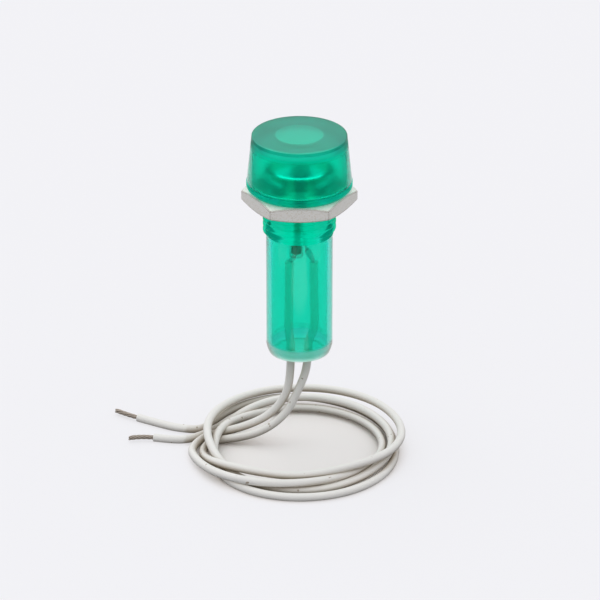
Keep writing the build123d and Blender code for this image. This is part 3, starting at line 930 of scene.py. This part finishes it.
class INDICATOR_OT_stage(bpy.types.Operator):
    """Set the floor, lights, world and camera"""
    bl_idname = "indicator.stage"
    bl_label = "Stage"

    def execute(self, context):
        scene = context.scene
        size = scene.indicator_stage
        self.floor(self.floor_paint(size))
        self.world(scene, size)
        self.softbox(direction=(-0.3, 0.35, 1.0), spread=60, strength=0.6)
        self.camera(scene, size)
        scene.view_settings.view_transform = "Standard"
        return {"FINISHED"}

    @staticmethod
    def floor(paint):
        """A wide square under the coil."""
        reach = 3.0
        corners = [(x * reach, y * reach, FLOOR_Z) for x, y in ((-1, -1), (1, -1), (1, 1), (-1, 1))]
        mesh = bpy.data.meshes.new("floor")
        mesh.from_pydata(corners, [], [(0, 1, 2, 3)])
        mesh.materials.append(paint)
        obj = placed("floor", mesh)

    @staticmethod
    def floor_paint(size):
        """One matt colour. The camera, clear plastic and rays that have bounced more than once see it
        whole; gloss sees it whole in the bright patches, and everything else sees a fifth of it. A
        share of it is its own light, so that shadows on it stay pale, except inside the coil, where it
        has none and is tinted a little warmer as painted bounce light."""
        shader = Shader("floor", Roughness=0.9, Specular_IOR_Level=0.0, Emission_Strength=1.0)
        flat = (1, 1, 0)
        # here a zone's radius is the distance to the middle line, and its height is the depth
        across = shader.coordinates(flat, turn=(math.pi / 2, 0, 0))
        half, near, far = size.strip
        curved = shader.zone(shader.coordinates(flat), Inner=86.2 * MM, Outer=88.8 * MM, Soft=MM)
        sides = shader.zone(across, Low=-64 * MM, High=-23 * MM, Soft=2 * MM)
        behind = shader.coordinates(flat, shift=(0, -122 * MM, 0))
        bright = 0.0
        for patch in (shader.zone(across, Outer=half, Low=-far, High=-near, Soft=6 * MM),
                      shader.zone(across, Outer=23 * MM, Low=-47.5 * MM, High=-40 * MM, Soft=1.5 * MM),
                      shader.zone(behind, Outer=112 * MM, Soft=8 * MM),
                      shader.maths("MULTIPLY", curved, sides)):
            bright = shader.maths("MAXIMUM", bright, patch)
        rays = shader.add("ShaderNodeLightPath").outputs
        seen = shader.maths("MULTIPLY", bright, rays["Is Glossy Ray"])
        for whole in (rays["Is Camera Ray"], rays["Is Transmission Ray"],
                      shader.maths("GREATER_THAN", rays["Ray Depth"], 1.5)):
            seen = shader.maths("MAXIMUM", seen, whole)
        colour = shader.mix(seen, shade(size.floor, 0.2), size.floor)
        coil = shader.coordinates(flat, shift=(-COIL_CENTRE[0], -COIL_CENTRE[1], 0))
        outside = shader.zone(coil, Inner=size.coil, Outer=10.0, Soft=4 * MM)
        # painted light: inside the coil a warm tint stands in for warm bounce light
        warm_bounce_tint = shader.mix(outside, (0.99, 0.965, 0.915), (1, 1, 1))
        colour = shader.mix(1.0, colour, warm_bounce_tint, blend="MULTIPLY")
        own = shader.maths("MULTIPLY", outside, size.fill)
        shader.give(Base_Color=shader.mix(own, colour, (0, 0, 0)),
                    Emission_Color=shader.mix(own, (0, 0, 0), colour))
        return shader.material

    @staticmethod
    def world(scene, size):
        """An even pale sky in the floor's colour."""
        world = bpy.data.worlds.new("studio")
        world.use_nodes = True
        back = world.node_tree.nodes["Background"].inputs
        back["Color"].default_value = (*size.floor, 1)
        back["Strength"].default_value = 0.95
        scene.world = world

    @staticmethod
    def softbox(direction, spread, strength):
        """A wide soft light from one direction. The spread is in degrees."""
        data = bpy.data.lights.new("softbox", "SUN")
        data.angle = math.radians(spread)
        data.energy = strength
        placed("softbox", data).rotation_euler = Vector(direction).to_track_quat("Z", "Y").to_euler()

    @staticmethod
    def camera(scene, size):
        """A camera in front, raised by its elevation and turned to the middle of the light."""
        data = bpy.data.cameras.new("camera")
        data.sensor_width = 36.0
        data.lens = size.focal
        data.clip_start = 0.01
        middle = Vector((0.1 * MM, 0, -21.6 * MM))
        back = Vector((0, -math.cos(size.elevation), math.sin(size.elevation)))
        scene.camera = placed("camera", data)
        scene.camera.location = middle + back * size.distance
        scene.camera.rotation_euler = (math.pi / 2 - size.elevation, 0, 0)


class INDICATOR_PT_panel(bpy.types.Panel):
    """Lists the pieces of the indicator light"""
    bl_label = "Indicator Light"
    bl_idname = "INDICATOR_PT_panel"
    bl_space_type = "VIEW_3D"
    bl_region_type = "UI"
    bl_category = "Indicator"

    def draw(self, context):
        for group in SETTINGS:
            box = self.layout.box()
            settings = getattr(context.scene, group)
            for name in settings.__annotations__:
                box.prop(settings, name)
        for operator in OPERATORS:
            self.layout.operator(operator.bl_idname)


SETTINGS = {"indicator_housing": IndicatorHousing, "indicator_metal": IndicatorMetal,
            "indicator_leads": IndicatorLeads, "indicator_stage": IndicatorStage}
OPERATORS = (INDICATOR_OT_lens_cap, INDICATOR_OT_threaded_body, INDICATOR_OT_hex_nut, INDICATOR_OT_lamp,
             INDICATOR_OT_leads, INDICATOR_OT_seal, INDICATOR_OT_stage)
CLASSES = (*SETTINGS.values(), *OPERATORS, INDICATOR_PT_panel)


def register():
    for group in CLASSES:
        bpy.utils.register_class(group)
    for name, group in SETTINGS.items():
        setattr(bpy.types.Scene, name, PointerProperty(type=group))


def unregister():
    for name in SETTINGS:
        delattr(bpy.types.Scene, name)
    for group in reversed(CLASSES):
        bpy.utils.unregister_class(group)


def main():
    register()
    EFFECTS.update(flow=flow_effect(), specks=speck_effect(), zone=zone_effect())
    for operator in OPERATORS:
        family, name = operator.bl_idname.split(".")
        getattr(getattr(bpy.ops, family), name)()


if __name__ == "__main__":
    main()
